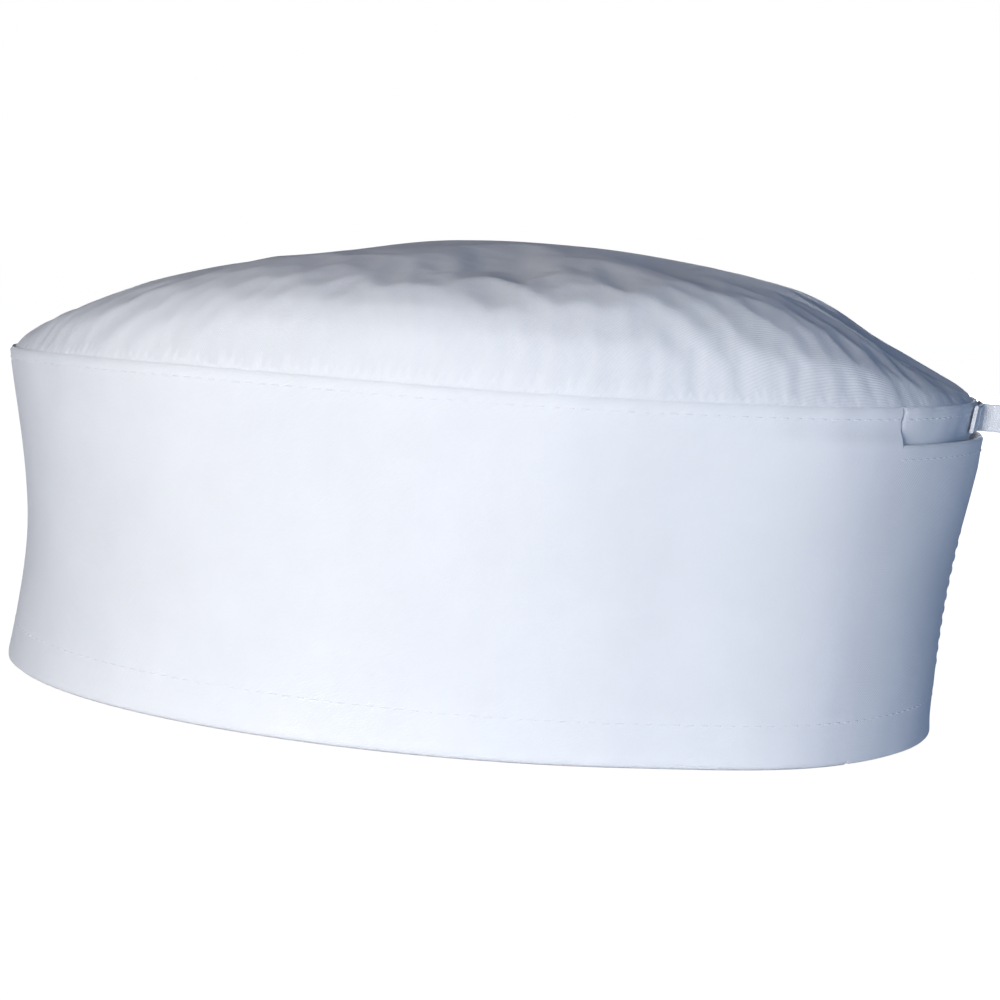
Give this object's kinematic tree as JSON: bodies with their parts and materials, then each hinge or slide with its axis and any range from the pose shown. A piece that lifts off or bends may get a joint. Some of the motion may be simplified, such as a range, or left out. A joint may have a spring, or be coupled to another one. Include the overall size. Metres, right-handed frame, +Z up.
{
  "type": "chef cap",
  "caption": "Low white kitchen cap: stiff flared side band, soft domed crown gathered into it, hook-and-loop closure tab at the back, hanging loop and label.",
  "frame": {"origin": "centre of the bounding box at the level of the band's bottom edge, which is the surface the cap stands on", "axes": "+Z up, from the band's bottom edge to the crown; the cap's front faces -Y and its back closure and hanging loop face +Y; +X is the wearer's left"},
  "size_m": [0.1895, 0.2524, 0.1033],
  "materials": {
    "shell_fabric": "white polyester-cotton twill, matt with a slight sheen",
    "lining_fabric": "thin white plain-weave cotton, matt",
    "interlining": "stiff off-white non-woven, matt",
    "sweatband_terry": "white looped terry towelling",
    "tape": "white woven herringbone tape",
    "thread": "white spun polyester thread",
    "loop_pile": "white brushed nylon loop pile",
    "hook_tape": "white nylon hooks on a woven ground",
    "label_satin": "blank white satin ribbon, soft gloss"
  },
  "bodies": {
    "cap": {"band_outer": "shell_fabric", "band_interlining": "interlining", "band_lining": "lining_fabric", "crown_panel": "shell_fabric", "crown_seam_binding": "tape", "sweatband": "sweatband_terry", "sweatband_stitching": "thread", "seam_stitching": "thread", "hem_stitching": "thread", "underlap_stitching": "thread", "loop_patch": "loop_pile", "loop_patch_stitching": "thread", "hanging_loop_foot_left": "tape", "hanging_loop_foot_right": "tape", "foot_tack_left": "thread", "foot_tack_right": "thread"},
    "closure_tab": {"tab_outer": "shell_fabric", "tab_interlining": "interlining", "tab_lining": "lining_fabric", "tab_stitching": "thread", "hook_patch": "hook_tape", "hook_patch_stitching": "thread"},
    "hanging_loop": {"hanging_loop": "tape"},
    "care_label": {"care_label": "label_satin"}
  },
  "joints": [
    {"name": "closure_peel", "type": "hinge", "parent": "cap", "child": "closure_tab", "pos_m": [0.04945, 0.07846, 0.0655], "axis": [0, 0, -1], "range_deg": [0, 80]},
    {"name": "hanging_loop_swing", "type": "hinge", "parent": "cap", "child": "hanging_loop", "pos_m": [0, 0.09322, 0.0694], "axis": [0, 0, 1], "range_deg": [-60, 60], "stiffness_Nm_per_rad": 0.002},
    {"name": "care_label_flip", "type": "hinge", "parent": "cap", "child": "care_label", "pos_m": [-0.07893, 0.03057, 0.0627], "axis": [-0.4153, -0.9097, 0], "range_deg": [0, 85]}
  ]
}
